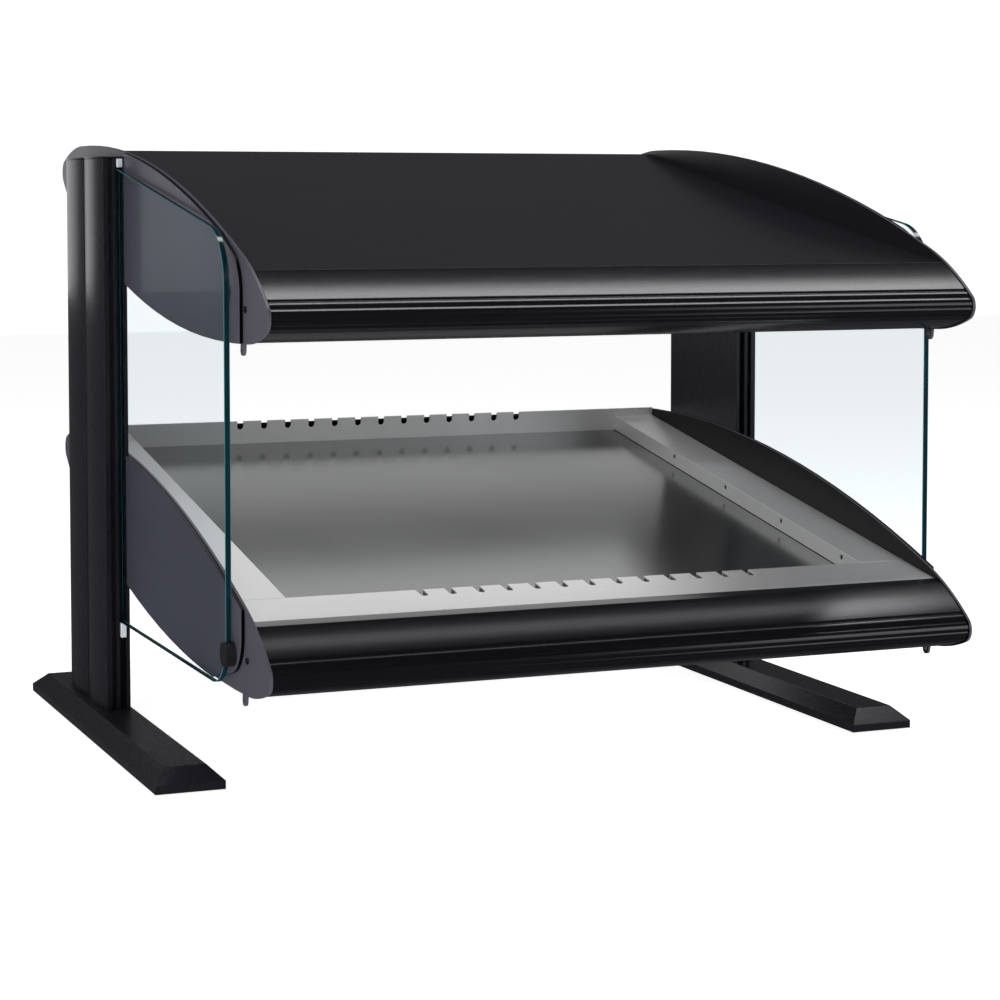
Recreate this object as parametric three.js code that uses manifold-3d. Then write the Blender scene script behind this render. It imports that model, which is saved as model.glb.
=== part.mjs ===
// Slanted heated display case for hot food: one heated shelf below, one heated canopy above,
// both hung between two fluted aluminium uprights on long bevelled feet, with glass side panels.
// Millimetres. +Z is up, +X is the right end seen by the customer, +Y points to the operator's side.
// The origin is on the counter, under the middle of the case.
import * as THREE from 'three';
import { mergeVertices } from 'three/addons/utils/BufferGeometryUtils.js';
import Module from 'manifold-3d';

const wasm = await Module();
wasm.setup();

// ---------------------------------------------------------------- driving dimensions
const gap = 0.3;                      // clearance between touching pieces
const overcut = 2;                    // how far a cutter runs past the face it starts from
const wellOutside = 300;              // longer than any outline that it has to clear
const bodyHalfWidth = 313;            // middle plane to the inner face of an end plate
const slopeDegrees = 9.7;             // front edge low
const shelfHeight = 185.6;            // middle of the shelf body above the counter
const canopyHeight = 465.6;           // middle of the canopy body above the counter

// lens-shaped section shared by shelf and canopy
const halfLength = 363;
const topArcRadius = 1580;
const topArcRise = 60.2;
const topShoulderRadius = 235;
const bottomArcRadius = 1490;
const bottomArcDrop = 65;
const bottomShoulderRadius = 155;
const noseRadius = 12;
const noseLevel = -2.8;
const skinEndAngle = 0.15;            // where the nose's skin line starts on the long arcs, radians

// end plates and the raised covers on them
const plateThickness = 2.7;
const plateReveal = 1;                // skins sit this far inside the plate outline
const earTipRadius = 4.6;
const earHoleRadius = 2.1;
const earDrop = 9.2;
const earFromNose = 66.5;
const coverThickness = 2.8;
const coverReveal = 0.6;
const coverFromNose = 73;
const coverCornerRadius = 35;
const shelfCornerHeight = 149;        // centre of the rounded lower front corner
const shelfCornerSlope = 13;
const canopyCornerHeight = 421.5;     // centre of the rounded upper front corner
const canopyCornerSlope = 24;

// nose and tail extrusions
const trimWall = 2.4;
const grooveStep = 1;                 // spacing of the points round the grooved nose
const plainStep = 6;                  // and along a wall with no grooves
const shelfTrimReach = 63;            // nose tip to the top lip
const canopyTrimReach = 54;
const trimBottomReach = 63;
const backFaceFromTip = 25;           // flat rear face of the tail extrusions
const grooveDepth = 0.9;
const grooves = [                     // distance round the skin, up from the nose tip
  { at: 19.5, halfWidth: 1.8 },
  { at: 10.8, halfWidth: 4.4 },
  { at: 0.8, halfWidth: 1.8 },
  { at: -5.2, halfWidth: 1.8 },
  { at: -12, halfWidth: 2.6 },
];

// sheet metal
const skinThickness = 1.5;
const rimLevel = 26.8;                // top of the stainless rim over the body's middle plane
const rimThickness = 1.5;
const rimFrontDepth = 54;
const sideRimWidth = 44.5;
const trayLevel = 11.5;
const trayRearFromTip = 75;
const upstandTop = 35;
const plateRimGap = 0.6;
const heatedPlateThickness = 3;
const heatedPlateMargin = 22;         // how far the hot plate runs under the rim
const foilThickness = 1;
const insulationThickness = 18;
const canopyPanelLevel = 27;
const canopyPanelRearFromTip = 57;

// divider slots and notches
const dividerPitch = 25.4;
const dividerCount = 13;
const slotWidth = 6.4;
const slotLength = 16;
const notchDepth = 9;
const rearFlangeDepth = 12;
const rimHoleRadius = 2.4;
const rimHolePitch = 117;
const rimHoleCount = 4;
const rimHoleFromFront = 33.5;
const rimHoleLevel = 21.3;

// canopy heat and light
const heatSlotWidth = 50;
const heatSlotEndRoom = 51;           // end plate to the end of a heat slot
const heatSlotCentres = [-95, 105];
const lampSlotCentre = 5;
const lampSlotWidth = 40;
const skinSlotReach = 15;             // height that a slot cutter needs in the curved skin
const reflectorTop = -18;
const reflectorFoot = -50;
const reflectorFlare = 24;
const reflectorReach = 150;
const reflectorEndRoom = 27;
const reflectorWall = 1.2;
const rodRadius = 5;
const rodCeramicRadius = 7;
const rodCeramicLength = 16;
const rodLevel = -38;
const lampRadius = 8;
const lampCapRadius = 9.5;
const lampCapLength = 18;
const lampPinRadius = 3;
const lampPinReach = 4;               // past the reflector's ends
const lampLevel = -36;

// feet
const footOutstand = 24.2;            // past the upright's outer side
const footWidth = 61;
const footFrontY = -181.5;
const footLength = 490.5;
const footHeight = 20.4;
const footBandHeight = 8.3;
const footSideBevel = 12.8;
const footEndBevel = 16;
const footLift = 1;                   // the rubber strip holds the foot off the counter
const padWidth = 24;
const padThickness = 3;
const padEndMargin = 24;

// uprights
const uprightFrontY = 87;
const uprightDepth = 152;
const uprightWidth = 21.8;
const uprightTop = 534.6;
const uprightCapThickness = 1.6;
const fluteSagitta = 4;
const fluteGrooveWidth = 3;
const fluteGrooveDepth = 3.5;
const uprightWall = 3;
const fluteWall = 4;                  // between a flute's edge and the hollow
const bossWidth = 14;
const lipGrooveWidth = 4.2;
const lipGrooveDepth = 5;
const lipGrooveOffset = 12.8;
const boltRadius = 3;
const boltHeadRadius = 5.5;
const boltHeadHeight = 6;
const boltReach = 24;
const boltFromRear = 8;               // rear bolt to the upright's back
const padFromBolts = 3;

// glass
const glassThickness = 5;
const glassOffset = 4.1;              // from the upright's inner face to the glass
const glassFromCoverFront = 22.5;
const glassBottom = 102;
const glassEngagement = 9.5;
const glassRearTop = 524.3;
const glassTopSlope = 8.9;
const glassTopCorner = 48;
const glassBottomCorner = 42;
const glassSlotClearance = 0.5;
const plugHeight = 13.5;
const plugProud = 3;
const discRadius = 7;
const discHeight = 420.4;
const discFromGlassEdge = 9.8;
const clipRadius = 10;
const clipHeight = 131;
const clipProud = 2.6;

// controls in the rear extrusions
const controlLevel = -3.5;
const knobX = 225;
const switchX = 150;
const glandX = -225;
const knobRadius = 13;
const knobSkirtRadius = 15;
const knobSkirtHeight = 2.5;
const knobHeight = 11.5;
const knobChamfer = 1;
const knobTaper = 0.8;
const pointerHalfWidth = 1.2;
const pointerRise = 0.6;
const shaftRadius = 3;
const shaftReach = 9;
const bezelWidth = 25;
const bezelHeight = 32;
const bezelThickness = 2;
const switchWidth = 21.6;
const switchHeight = 28.6;
const switchWall = 0.9;
const switchDepth = 17;
const switchFloor = 6;                // thickness behind the rocker's pocket
const rockerTilt = 7;
const rockerBehindFace = 2;
const rockerEndRoom = 0.8;            // above and below, where the ends swing
const rockerKeel = 5;                 // depths of its section behind and before the pivot
const rockerCheek = 2;
const rockerLip = 5.2;
const rockerDip = 3.4;
const controlBodyWidth = 36;
const controlBodyHeight = 26;
const controlBodyDepth = 24;
const glandRadius = 9;
const glandStem = 8;
const glandNutRadius = 12;
const glandBore = 4.2;
const glandProud = 11;
const glandNutThickness = 4;
const glandInside = 4;                // past the wall's inner face

// ---------------------------------------------------------------- materials
const finish = (color, roughness, metalness) =>
  new THREE.MeshStandardMaterial({ color, roughness, metalness });
const blackAluminium = finish('#26262b', 0.35, 0.6);
const charcoalSheet = finish('#3b3b41', 0.4, 0.3);
const blackPaint = finish('#232328', 0.3, 0.2);
const stainless = finish('#cfcfd0', 0.3, 1);
const hotPlate = finish('#6d6e6e', 0.3, 0.8);
const aluminium = finish('#b9bbbd', 0.35, 1);
const rubber = finish('#151515', 0.8, 0);
const nylon = finish('#e6e8ec', 0.5, 0);
const blackPlastic = finish('#18181a', 0.45, 0);
const redPlastic = finish('#8d1c16', 0.35, 0);
const ceramic = finish('#e4dfd2', 0.7, 0);
const quartz = finish('#d8d2c4', 0.2, 0);
const lampGlass = finish('#f3f3ee', 0.25, 0);
const foil = finish('#a34a22', 0.5, 0.1);
const wool = finish('#cfc7a8', 0.95, 0);
const zinc = finish('#8f9194', 0.45, 0.9);
const tintedGlass = new THREE.MeshStandardMaterial({
  color: '#dbe9ec',
  roughness: 0.05,
  metalness: 0,
  transparent: true,
  opacity: 0.35,
});

// ---------------------------------------------------------------- sizes that follow
const coverFrontY = coverFromNose - halfLength;
const glassFrontY = coverFrontY + glassFromCoverFront;
const shelfTrimTop = halfLength - shelfTrimReach;
const canopyTrimTop = halfLength - canopyTrimReach;
const trimBottomLip = halfLength - trimBottomReach;
const backFaceAt = halfLength - backFaceFromTip;
const trayRearAt = halfLength - trayRearFromTip;
const canopyPanelRear = halfLength - canopyPanelRearFromTip;
const trayHalfWidth = bodyHalfWidth - sideRimWidth;
const heatSlotHalfLength = bodyHalfWidth - heatSlotEndRoom;
const reflectorHalfLength = bodyHalfWidth - reflectorEndRoom;
const slope = THREE.MathUtils.degToRad(slopeDegrees);
const sinSlope = Math.sin(slope);
const radians = THREE.MathUtils.degToRad;

// ---------------------------------------------------------------- solids
function solid(geometry) {
  const bare = geometry.clone();
  bare.deleteAttribute('normal');
  bare.deleteAttribute('uv');
  const merged = mergeVertices(bare, 1e-4);
  return new wasm.Manifold(new wasm.Mesh({
    numProp: 3,
    vertProperties: new Float32Array(merged.attributes.position.array),
    triVerts: new Uint32Array(merged.index.array),
  }));
}

function geometryOf(body) {
  const mesh = body.getMesh();
  const geometry = new THREE.BufferGeometry();
  geometry.setAttribute('position', new THREE.BufferAttribute(mesh.vertProperties, 3));
  geometry.setIndex(new THREE.BufferAttribute(mesh.triVerts, 1));
  geometry.computeVertexNormals();
  return geometry;
}

// A shape drawn in (Y, Z) and run along X from x0 to x1.
function alongX(shape, x0, x1, curveSegments = 24) {
  const geometry = new THREE.ExtrudeGeometry(shape, {
    depth: x1 - x0,
    bevelEnabled: false,
    curveSegments,
  });
  const turn = new THREE.Matrix4().makeBasis(
    new THREE.Vector3(0, 1, 0),
    new THREE.Vector3(0, 0, 1),
    new THREE.Vector3(1, 0, 0),
  );
  geometry.applyMatrix4(turn);
  geometry.translate(x0, 0, 0);
  return solid(geometry);
}

// A shape drawn in (X, Y) and run upwards from z0 to z1.
function upwards(shape, z0, z1, curveSegments = 16) {
  const geometry = new THREE.ExtrudeGeometry(shape, {
    depth: z1 - z0,
    bevelEnabled: false,
    curveSegments,
  });
  geometry.translate(0, 0, z0);
  return solid(geometry);
}

function box(x0, x1, y0, y1, z0, z1) {
  const geometry = new THREE.BoxGeometry(x1 - x0, y1 - y0, z1 - z0);
  geometry.translate((x0 + x1) / 2, (y0 + y1) / 2, (z0 + z1) / 2);
  return solid(geometry);
}

// Cylinders along X, Y and Z. `from` and `to` are the ends on that axis.
function rodX(radius, from, to, y, z, sides = 32) {
  const geometry = new THREE.CylinderGeometry(radius, radius, to - from, sides);
  geometry.rotateZ(Math.PI / 2);
  geometry.translate((from + to) / 2, y, z);
  return solid(geometry);
}

function rodY(radius, from, to, x, z, sides = 32) {
  const geometry = new THREE.CylinderGeometry(radius, radius, to - from, sides);
  geometry.translate(x, (from + to) / 2, z);
  return solid(geometry);
}

function rodZ(radius, from, to, x, y, sides = 32) {
  const geometry = new THREE.CylinderGeometry(radius, radius, to - from, sides);
  geometry.rotateX(Math.PI / 2);
  geometry.translate(x, y, (from + to) / 2);
  return solid(geometry);
}

const joined = (...bodies) => bodies.reduce((whole, body) => whole.add(body));
const mirrored = (body) => body.mirror([1, 0, 0]);

const displayCase = new THREE.Group();
const leafCentreY = noseLevel * sinSlope;        // keeps nose and tail equally far from the origin

function unitGroup(height) {
  const group = new THREE.Group();
  group.rotation.x = slope;
  group.position.set(0, leafCentreY, height);
  displayCase.add(group);
  return group;
}

const shelf = unitGroup(shelfHeight);
const canopy = unitGroup(canopyHeight);

function place(group, name, body, material) {
  const mesh = new THREE.Mesh(geometryOf(body), material);
  mesh.name = name;
  group.add(mesh);
}

function placePair(group, name, rightBody, material) {
  place(group, `right_${name}`, rightBody, material);
  place(group, `left_${name}`, mirrored(rightBody), material);
}

// ---------------------------------------------------------------- lens section
// Drawn in (Y, Z) about the middle of the body, Y along the slope and Z square to it. Each of
// the two long arcs runs through a tighter shoulder arc into the small round of the nose.
const nose = new THREE.Vector2(halfLength - noseRadius, noseLevel);
const topCentre = new THREE.Vector2(0, topArcRise - topArcRadius);
const bottomCentre = new THREE.Vector2(0, bottomArcRadius - bottomArcDrop);

// Centre of the arc that touches both the long arc and the nose round from inside.
function shoulderCentre(centre, radius, shoulderRadius) {
  const fromCentre = radius - shoulderRadius;
  const fromNose = shoulderRadius - noseRadius;
  const line = nose.clone().sub(centre);
  const distance = line.length();
  const along = (fromCentre ** 2 - fromNose ** 2 + distance ** 2) / (2 * distance);
  const across = Math.sqrt(fromCentre ** 2 - along ** 2);
  const unit = line.divideScalar(distance);
  const side = new THREE.Vector2(-Math.abs(unit.y), unit.x * Math.sign(unit.y));
  return centre.clone().addScaledVector(unit, along).addScaledVector(side, across);
}

const topShoulder = shoulderCentre(topCentre, topArcRadius, topShoulderRadius);
const bottomShoulder = shoulderCentre(bottomCentre, bottomArcRadius, bottomShoulderRadius);
const angleFrom = (a, b) => Math.atan2(b.y - a.y, b.x - a.x);
const topJoin = angleFrom(topCentre, topShoulder);
const topNoseJoin = angleFrom(topShoulder, nose);
const bottomNoseJoin = angleFrom(bottomShoulder, nose);
const bottomJoin = angleFrom(bottomCentre, bottomShoulder);

function lensShape(inset) {
  const shape = new THREE.Shape();
  const turn = Math.PI;
  const arc = (centre, side, radius, from, to) =>
    shape.absarc(side * centre.x, centre.y, radius - inset, from, to, false);
  arc(topCentre, 1, topArcRadius, topJoin, turn - topJoin);
  arc(topShoulder, -1, topShoulderRadius, turn - topJoin, turn - topNoseJoin);
  arc(nose, -1, noseRadius, turn - topNoseJoin, turn - bottomNoseJoin);
  arc(bottomShoulder, -1, bottomShoulderRadius, turn - bottomNoseJoin, turn - bottomJoin);
  arc(bottomCentre, 1, bottomArcRadius, -turn - bottomJoin, bottomJoin);
  arc(bottomShoulder, 1, bottomShoulderRadius, bottomJoin, bottomNoseJoin);
  arc(nose, 1, noseRadius, bottomNoseJoin, topNoseJoin);
  arc(topShoulder, 1, topShoulderRadius, topNoseJoin, topJoin);
  return shape;
}

// Height of the section's top and underside at a distance from the middle, short of the nose.
function lensTopAt(y, inset) {
  const onLongArc = y < topArcRadius * Math.cos(topJoin);
  const centre = onLongArc ? topCentre : topShoulder;
  const radius = (onLongArc ? topArcRadius : topShoulderRadius) - inset;
  return centre.y + Math.sqrt(radius ** 2 - (y - centre.x) ** 2);
}

function lensBottomAt(y, inset) {
  const onLongArc = y < bottomArcRadius * Math.cos(bottomJoin);
  const centre = onLongArc ? bottomCentre : bottomShoulder;
  const radius = (onLongArc ? bottomArcRadius : bottomShoulderRadius) - inset;
  return centre.y - Math.sqrt(radius ** 2 - (y - centre.x) ** 2);
}

// Points round the nose from the top long arc to the bottom one. `depthAt` lowers the surface
// by an amount that depends on the distance from the nose tip, positive above it.
function skinPoints(inset, step, depthAt) {
  const arcs = [
    [topCentre, topArcRadius, Math.PI / 2 - skinEndAngle, topJoin],
    [topShoulder, topShoulderRadius, topJoin, topNoseJoin],
    [nose, noseRadius, topNoseJoin, bottomNoseJoin],
    [bottomShoulder, bottomShoulderRadius, bottomNoseJoin, bottomJoin],
    [bottomCentre, bottomArcRadius, bottomJoin, -Math.PI / 2 + skinEndAngle],
  ];
  const lengthOf = ([, radius, from, to]) => (radius - inset) * (from - to);
  let above = lengthOf(arcs[0]) + lengthOf(arcs[1]) + (noseRadius - inset) * topNoseJoin;
  const points = [];
  arcs.forEach((arc) => {
    const [centre, radius, from, to] = arc;
    const count = Math.max(3, Math.ceil(lengthOf(arc) / step));
    for (let i = 0; i < count; i += 1) {
      const angle = from + (to - from) * i / count;
      const r = radius - inset - depthAt(above - lengthOf(arc) * i / count);
      points.push(new THREE.Vector2(
        centre.x + r * Math.cos(angle),
        centre.y + r * Math.sin(angle),
      ));
    }
    above -= lengthOf(arc);
  });
  return points;
}

// ---------------------------------------------------------------- end plates
function endPlate() {
  const inner = bodyHalfWidth;
  const outer = bodyHalfWidth + plateThickness;
  const earY = earFromNose - halfLength;
  const edge = lensBottomAt(-earY, 0);
  const tip = edge - earDrop + earTipRadius;
  const ear = new THREE.Shape();
  ear.moveTo(earY + earTipRadius, edge + earDrop);
  ear.lineTo(earY - earTipRadius, edge + earDrop);
  ear.absarc(earY, tip, earTipRadius, Math.PI, Math.PI * 2, false);
  return alongX(lensShape(0), inner, outer, 8)
    .add(alongX(ear, inner, outer, 10))
    .subtract(rodX(earHoleRadius, inner - 1, outer + 1, earY, tip, 20));
}

placePair(shelf, 'shelf_end_plate', endPlate(), charcoalSheet);
placePair(canopy, 'canopy_end_plate', endPlate(), charcoalSheet);

// ---------------------------------------------------------------- raised end covers
// The lens outline again, trimmed upright at the front with one rounded corner, and ended
// at the upright. `up` is +1 for the canopy's upper corner, -1 for the shelf's lower one.
function endCover(height, cornerHeight, cornerSlope, up) {
  const x0 = bodyHalfWidth + plateThickness + gap;
  const x1 = x0 + coverThickness;
  const r = coverCornerRadius;
  const rear = uprightFrontY - gap;
  const centreY = coverFrontY + r;
  const turn = radians(90 - cornerSlope);
  const trim = new THREE.Shape();
  trim.moveTo(rear, height - up * wellOutside);
  trim.lineTo(coverFrontY, height - up * wellOutside);
  trim.lineTo(coverFrontY, cornerHeight);
  trim.absarc(centreY, cornerHeight, r, Math.PI, Math.PI - up * turn, up > 0);
  const endY = centreY - r * Math.cos(turn);
  const endZ = cornerHeight + up * r * Math.sin(turn);
  trim.lineTo(rear, endZ + up * (rear - endY) * Math.tan(radians(cornerSlope)));
  return alongX(lensShape(coverReveal), x0, x1, 8)
    .rotate([slopeDegrees, 0, 0])
    .translate([0, leafCentreY, height])
    .intersect(alongX(trim, x0 - 1, x1 + 1, 8));
}

placePair(displayCase, 'shelf_end_cover',
  endCover(shelfHeight, shelfCornerHeight, shelfCornerSlope, -1), charcoalSheet);
placePair(displayCase, 'canopy_end_cover',
  endCover(canopyHeight, canopyCornerHeight, canopyCornerSlope, 1), charcoalSheet);

// ---------------------------------------------------------------- nose and tail extrusions
// Thin-walled section: a flat lip level with the sheet it meets, then the lens skin round to
// the bottom lip. `backAt` cuts the skin off flat; the nose has none and is grooved instead.
function grooveDepthAt(distance) {
  return grooves.reduce((depth, groove) => {
    const offset = Math.abs(distance - groove.at) / groove.halfWidth;
    return depth + (offset < 1 ? grooveDepth * (1 + Math.cos(Math.PI * offset)) / 2 : 0);
  }, 0);
}

function wallLine(inset, lipAt, lipLevel, step, backAt, depthAt) {
  const back = backAt - (inset - plateReveal);
  const skin = skinPoints(inset, step, depthAt).filter((point) =>
    point.x < back && (point.y > 0
      ? point.x > lipAt + 1 && point.y < lipLevel - 0.1
      : point.x > trimBottomLip + 1));
  const upper = skin.filter((point) => point.y > noseLevel);
  const lower = skin.filter((point) => point.y <= noseLevel);
  const corners = back < halfLength - noseRadius ? [
    new THREE.Vector2(back, lensTopAt(back, inset)),
    new THREE.Vector2(back, lensBottomAt(back, inset)),
  ] : [];
  return [
    new THREE.Vector2(lipAt, lipLevel),
    ...upper,
    ...corners,
    ...lower,
    new THREE.Vector2(trimBottomLip, lensBottomAt(trimBottomLip, inset)),
  ];
}

function thinWalledTrim(side, lipAt, lipLevel, step, backAt, depthAt) {
  const outside = wallLine(plateReveal, lipAt, lipLevel, step, backAt, depthAt);
  const inside = wallLine(plateReveal + trimWall, lipAt, lipLevel - trimWall, plainStep, backAt,
    () => 0);
  const outline = [...outside, ...inside.reverse()];
  outline.forEach((point) => point.setX(side * point.x));
  return alongX(new THREE.Shape(outline), -bodyHalfWidth + gap, bodyHalfWidth - gap);
}

const noseTrim = (lipAt, lipLevel) =>
  thinWalledTrim(-1, lipAt, lipLevel, grooveStep, halfLength, grooveDepthAt);

const tailTrim = (lipAt, lipLevel, cuts) => cuts.reduce(
  (body, cut) => body.subtract(cut),
  thinWalledTrim(1, lipAt, lipLevel, plainStep, backFaceAt, () => 0),
);

place(shelf, 'shelf_front_trim', noseTrim(shelfTrimTop, rimLevel), blackAluminium);
place(canopy, 'canopy_front_trim', noseTrim(canopyTrimTop, canopyPanelLevel), blackAluminium);

const wallBack = backFaceAt + overcut;
const wallFront = backFaceAt - trimWall - overcut;
const knobHole = () =>
  rodY(shaftRadius + gap, wallFront, wallBack, knobX, controlLevel, 24);
const switchHole = () => box(
  switchX - switchWidth / 2 - gap, switchX + switchWidth / 2 + gap,
  wallFront, wallBack,
  controlLevel - switchHeight / 2 - gap, controlLevel + switchHeight / 2 + gap,
);
const glandHole = () =>
  rodY(glandStem + gap, wallFront, wallBack, glandX, controlLevel, 32);

const shelfTailLip = trayRearAt + rimThickness + gap;
place(shelf, 'shelf_rear_trim',
  tailTrim(shelfTailLip, lensTopAt(shelfTailLip, plateReveal),
    [knobHole(), switchHole(), glandHole()]), blackAluminium);
place(canopy, 'canopy_rear_trim',
  tailTrim(canopyPanelRear + gap, canopyPanelLevel,
    [knobHole(), switchHole()]), blackAluminium);

// ---------------------------------------------------------------- bottom skins
function bottomSkin() {
  const outer = bottomArcRadius - plateReveal;
  const reach = Math.asin((trimBottomLip - gap) / outer);
  const sheet = new THREE.Shape();
  sheet.absarc(0, bottomCentre.y, outer, -Math.PI / 2 - reach, -Math.PI / 2 + reach, false);
  sheet.absarc(0, bottomCentre.y, outer - skinThickness,
    -Math.PI / 2 + reach, -Math.PI / 2 - reach, true);
  return alongX(sheet, -bodyHalfWidth + gap, bodyHalfWidth - gap, 16);
}

function skinSlot(centre, width) {
  return box(-heatSlotHalfLength, heatSlotHalfLength, centre - width / 2, centre + width / 2,
    -bottomArcDrop - overcut, -bottomArcDrop + skinSlotReach);
}

place(shelf, 'shelf_bottom_skin', bottomSkin(), charcoalSheet);
place(canopy, 'canopy_bottom_skin', bottomSkin()
  .subtract(skinSlot(heatSlotCentres[0], heatSlotWidth))
  .subtract(skinSlot(heatSlotCentres[1], heatSlotWidth))
  .subtract(skinSlot(lampSlotCentre, lampSlotWidth)), charcoalSheet);

// ---------------------------------------------------------------- canopy top panel
place(canopy, 'canopy_top_panel', box(
  -bodyHalfWidth + gap, bodyHalfWidth - gap,
  -canopyTrimTop + gap, canopyPanelRear,
  canopyPanelLevel - skinThickness, canopyPanelLevel,
), blackPaint);

// ---------------------------------------------------------------- canopy heat and light
function reflectorPan(inset) {
  const wide = reflectorReach - inset;
  const pan = new THREE.Shape();
  const foot = reflectorFoot - (inset ? overcut : 0);
  pan.moveTo(-wide, foot);
  pan.lineTo(wide, foot);
  pan.lineTo(wide - reflectorFlare, reflectorTop - inset);
  pan.lineTo(-wide + reflectorFlare, reflectorTop - inset);
  return alongX(pan, -reflectorHalfLength + inset, reflectorHalfLength - inset);
}

let reflector = reflectorPan(0).subtract(reflectorPan(reflectorWall));
heatSlotCentres.forEach((y) => {
  reflector = reflector.subtract(
    rodX(rodRadius + gap, -reflectorHalfLength - overcut, reflectorHalfLength + overcut, y, rodLevel, 24));
});
reflector = reflector.subtract(rodX(lampPinRadius + gap,
  -reflectorHalfLength - overcut, reflectorHalfLength + overcut, lampSlotCentre, lampLevel, 20));
place(canopy, 'canopy_reflector', reflector, aluminium);

function heatRod(y) {
  const end = reflectorHalfLength + gap + rodCeramicLength;
  return joined(
    rodX(rodRadius, -end + 1, end - 1, y, rodLevel, 24),
    rodX(rodCeramicRadius, -end, -end + rodCeramicLength, y, rodLevel, 24),
    rodX(rodCeramicRadius, end - rodCeramicLength, end, y, rodLevel, 24),
  );
}

place(canopy, 'front_heat_rod', heatRod(heatSlotCentres[0]), quartz);
place(canopy, 'rear_heat_rod', heatRod(heatSlotCentres[1]), quartz);

const lampEnd = reflectorHalfLength - reflectorWall - gap;
place(canopy, 'display_lamp', joined(
  rodX(lampRadius, -lampEnd + 1, lampEnd - 1, lampSlotCentre, lampLevel, 28),
  rodX(lampCapRadius, -lampEnd, -lampEnd + lampCapLength, lampSlotCentre, lampLevel, 28),
  rodX(lampCapRadius, lampEnd - lampCapLength, lampEnd, lampSlotCentre, lampLevel, 28),
  rodX(lampPinRadius, -reflectorHalfLength - lampPinReach, reflectorHalfLength + lampPinReach,
    lampSlotCentre, lampLevel, 20),
), lampGlass);

// ---------------------------------------------------------------- heated shelf
const rimFrontAt = -shelfTrimTop + gap;
const rimInnerFront = -shelfTrimTop + rimFrontDepth;
const plateFront = rimInnerFront - heatedPlateMargin;
const plateHalfWidth = trayHalfWidth + heatedPlateMargin;

place(shelf, 'heated_plate', box(
  -plateHalfWidth, plateHalfWidth, plateFront, trayRearAt - gap,
  trayLevel - heatedPlateThickness, trayLevel,
), hotPlate);

const foilTop = trayLevel - heatedPlateThickness - gap;
place(shelf, 'foil_heater', box(
  -trayHalfWidth, trayHalfWidth, rimInnerFront, trayRearAt - heatedPlateMargin,
  foilTop - foilThickness, foilTop,
), foil);

const woolTop = foilTop - foilThickness - gap;
place(shelf, 'insulation_pad', box(
  -trayHalfWidth, trayHalfWidth, rimInnerFront, trayRearAt - heatedPlateMargin,
  woolTop - insulationThickness, woolTop,
), wool);

// Stainless rim: four pieces of folded sheet round the tray.
const rimFoot = trayLevel + plateRimGap;
const dividerXs = Array.from({ length: dividerCount },
  (_, i) => (i - (dividerCount - 1) / 2) * dividerPitch);

function slotCutter(x) {
  const r = slotWidth / 2;
  return box(x - r, x + r, rimInnerFront - slotLength + r, rimInnerFront + overcut,
    rimFoot - overcut, rimLevel + overcut)
    .add(rodZ(r, rimLevel - rimThickness - overcut, rimLevel + overcut,
      x, rimInnerFront - slotLength + r, 16));
}

let rimFront = joined(
  box(-bodyHalfWidth + gap, bodyHalfWidth - gap, rimFrontAt, rimInnerFront,
    rimLevel - rimThickness, rimLevel),
  box(-trayHalfWidth + gap, trayHalfWidth - gap, rimInnerFront - rimThickness, rimInnerFront,
    rimFoot, rimLevel),
);
dividerXs.forEach((x) => {
  rimFront = rimFront.subtract(slotCutter(x));
});
place(shelf, 'rim_front', rimFront, stainless);

function notchCutter(x) {
  const r = slotWidth / 2;
  const floor = upstandTop - notchDepth + r;
  const front = trayRearAt - overcut;
  const back = trayRearAt + rimThickness + overcut;
  return box(x - r, x + r, front, back, floor, upstandTop + overcut)
    .add(rodY(r, front, back, x, floor, 16));
}

let rimRear = joined(
  box(-bodyHalfWidth + gap, bodyHalfWidth - gap, trayRearAt, trayRearAt + rimThickness,
    rimFoot, upstandTop),
  box(-bodyHalfWidth + gap, bodyHalfWidth - gap, trayRearAt, trayRearAt + rearFlangeDepth,
    rimFoot - rimThickness, rimFoot),
);
dividerXs.forEach((x) => {
  rimRear = rimRear.subtract(notchCutter(x));
});
place(shelf, 'rim_rear', rimRear, stainless);

let rimSide = joined(
  box(trayHalfWidth, bodyHalfWidth - gap, rimInnerFront + gap, trayRearAt - gap,
    rimLevel - rimThickness, rimLevel),
  box(trayHalfWidth, trayHalfWidth + rimThickness, rimInnerFront + gap, trayRearAt - gap,
    rimFoot, rimLevel),
);
for (let i = 0; i < rimHoleCount; i += 1) {
  const y = rimInnerFront + rimHoleFromFront + i * rimHolePitch;
  rimSide = rimSide.subtract(rodX(rimHoleRadius, trayHalfWidth - overcut,
    trayHalfWidth + rimThickness + overcut, y, rimHoleLevel, 16));
}
placePair(shelf, 'rim', rimSide, stainless);

// ---------------------------------------------------------------- controls
// Round knob with a pointer rib and a shaft that runs through the rear extrusion.
function knob() {
  const face = backFaceAt + gap;
  const top = knobHeight - pointerRise;
  const profile = [
    new THREE.Vector2(0, 0),
    new THREE.Vector2(knobSkirtRadius, 0),
    new THREE.Vector2(knobSkirtRadius, knobSkirtHeight - knobChamfer),
    new THREE.Vector2(knobSkirtRadius - knobChamfer, knobSkirtHeight),
    new THREE.Vector2(knobRadius, knobSkirtHeight),
    new THREE.Vector2(knobRadius - knobTaper, top - knobChamfer),
    new THREE.Vector2(knobRadius - knobTaper - knobChamfer, top),
    new THREE.Vector2(0, top),
  ];
  const turned = new THREE.LatheGeometry(profile, 28);
  turned.translate(knobX, face, controlLevel);
  return joined(
    solid(turned),
    box(knobX - pointerHalfWidth, knobX + pointerHalfWidth,
      face + top - knobChamfer, face + knobHeight,
      controlLevel, controlLevel + knobRadius - knobTaper - knobChamfer),
    rodY(shaftRadius, backFaceAt - trimWall - shaftReach, face + 1, knobX, controlLevel, 24),
  );
}

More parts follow.
